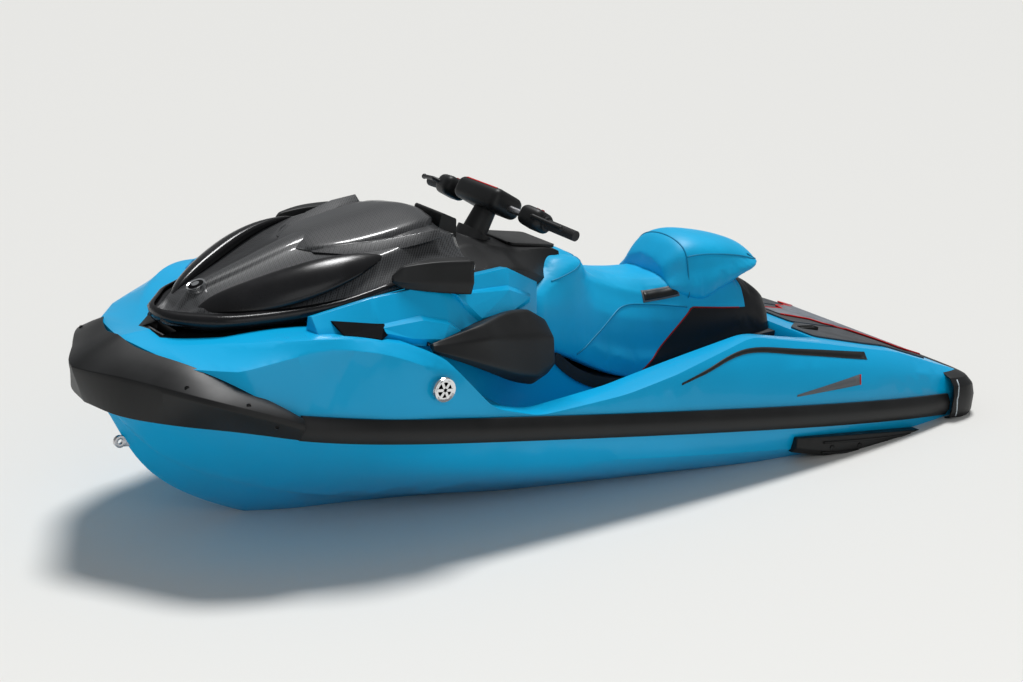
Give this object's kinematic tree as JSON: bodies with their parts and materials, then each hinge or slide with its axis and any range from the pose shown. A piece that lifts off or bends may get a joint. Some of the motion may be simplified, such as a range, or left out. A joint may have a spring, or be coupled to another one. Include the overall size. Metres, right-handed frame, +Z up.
{
  "type": "personal watercraft",
  "caption": "Runabout personal watercraft with a V hull, straddle saddle, raked handlebar, front storage hood, sponsons and a steerable jet drive with reverse gate.",
  "frame": {"origin": "on the keel line, in the centre plane, amidships", "axes": "+X to the bow, +Y to port, +Z up"},
  "size_m": [3.3179, 1.2568, 1.072],
  "materials": {
    "hull_blue": "gloss",
    "black_plastic": "satin",
    "black_gloss": "gloss",
    "seat_blue": "satin",
    "rubber_black": "matt",
    "mat_grey": "matt",
    "steel": "satin",
    "cast_alloy": "satin",
    "screen": "gloss",
    "mirror": "gloss",
    "bright": "gloss"
  },
  "bodies": {
    "craft": {"hull": "hull_blue", "deck": "hull_blue", "bow_bumper": "black_plastic", "stern_bumper": "black_plastic", "rub_rail_port": "black_plastic", "rub_rail_starboard": "black_plastic", "hood_hinge_pin": "steel", "storage_bin": "black_plastic", "console": "black_plastic", "gauge_housing": "black_plastic", "gauge_screen": "screen", "glovebox_tray": "black_plastic", "side_cover_port": "hull_blue", "side_cover_starboard": "hull_blue", "side_pod_port": "black_plastic", "side_pod_starboard": "black_plastic", "mirror_housing_port": "black_plastic", "mirror_housing_starboard": "black_plastic", "mirror_glass_port": "mirror", "mirror_glass_starboard": "mirror", "seat_base": "rubber_black", "saddle": "seat_blue", "bolster": "seat_blue", "footwell_mats": "mat_grey", "rear_deck_mats": "mat_grey", "sponson_port": "black_plastic", "sponson_starboard": "black_plastic", "fuel_cap": "bright", "engine": "cast_alloy", "pump_housing": "cast_alloy", "venturi": "cast_alloy", "ride_plate": "cast_alloy", "intake_grate": "steel", "bow_eye": "steel", "tow_eye_port": "steel", "tow_eye_starboard": "steel", "drain_plugs": "black_plastic"},
    "hood": {"hood": "black_gloss"},
    "glovebox_lid": {"glovebox_lid": "black_plastic"},
    "steering": {"handlebar": "steel", "steering_column": "black_plastic", "bar_pad": "black_plastic", "grips": "rubber_black", "switch_pods": "black_plastic", "reverse_lever": "black_plastic", "throttle_lever": "black_plastic"},
    "trim_ring": {"trim_ring": "black_plastic"},
    "nozzle": {"nozzle": "cast_alloy"},
    "reverse_gate": {"reverse_gate": "black_plastic"},
    "impeller": {"impeller": "steel"}
  },
  "joints": [
    {"name": "hood_hinge", "type": "hinge", "parent": "craft", "child": "hood", "pos_m": [1.386, 0, 0.608], "axis": [0, 1, 0], "range_deg": [0, 50]},
    {"name": "glovebox_hinge", "type": "hinge", "parent": "craft", "child": "glovebox_lid", "pos_m": [0.191, 0, 0.8925], "axis": [0, 1, 0], "range_deg": [0, 55]},
    {"name": "steering", "type": "hinge", "parent": "craft", "child": "steering", "pos_m": [0.276, 0, 0.905], "axis": [-0.4067, 0, 0.9135], "range_deg": [-22, 22]},
    {"name": "trim", "type": "hinge", "parent": "craft", "child": "trim_ring", "pos_m": [-1.424, 0, 0.172], "axis": [0, 1, 0], "range_deg": [-8, 8]},
    {"name": "nozzle_steer", "type": "hinge", "parent": "trim_ring", "child": "nozzle", "pos_m": [-1.479, 0, 0.172], "axis": [0, 0, 1], "range_deg": [-18, 18]},
    {"name": "gate_pivot", "type": "hinge", "parent": "craft", "child": "reverse_gate", "pos_m": [-1.424, 0, 0.172], "axis": [0, -1, 0], "range_deg": [0, 58]},
    {"name": "impeller_spin", "type": "hinge", "parent": "craft", "child": "impeller", "pos_m": [-1.179, 0, 0.172], "axis": [1, 0, 0], "continuous": true}
  ],
  "couplings": [
    {"joint": "nozzle_steer", "follows": "steering", "ratio": -0.8}
  ]
}
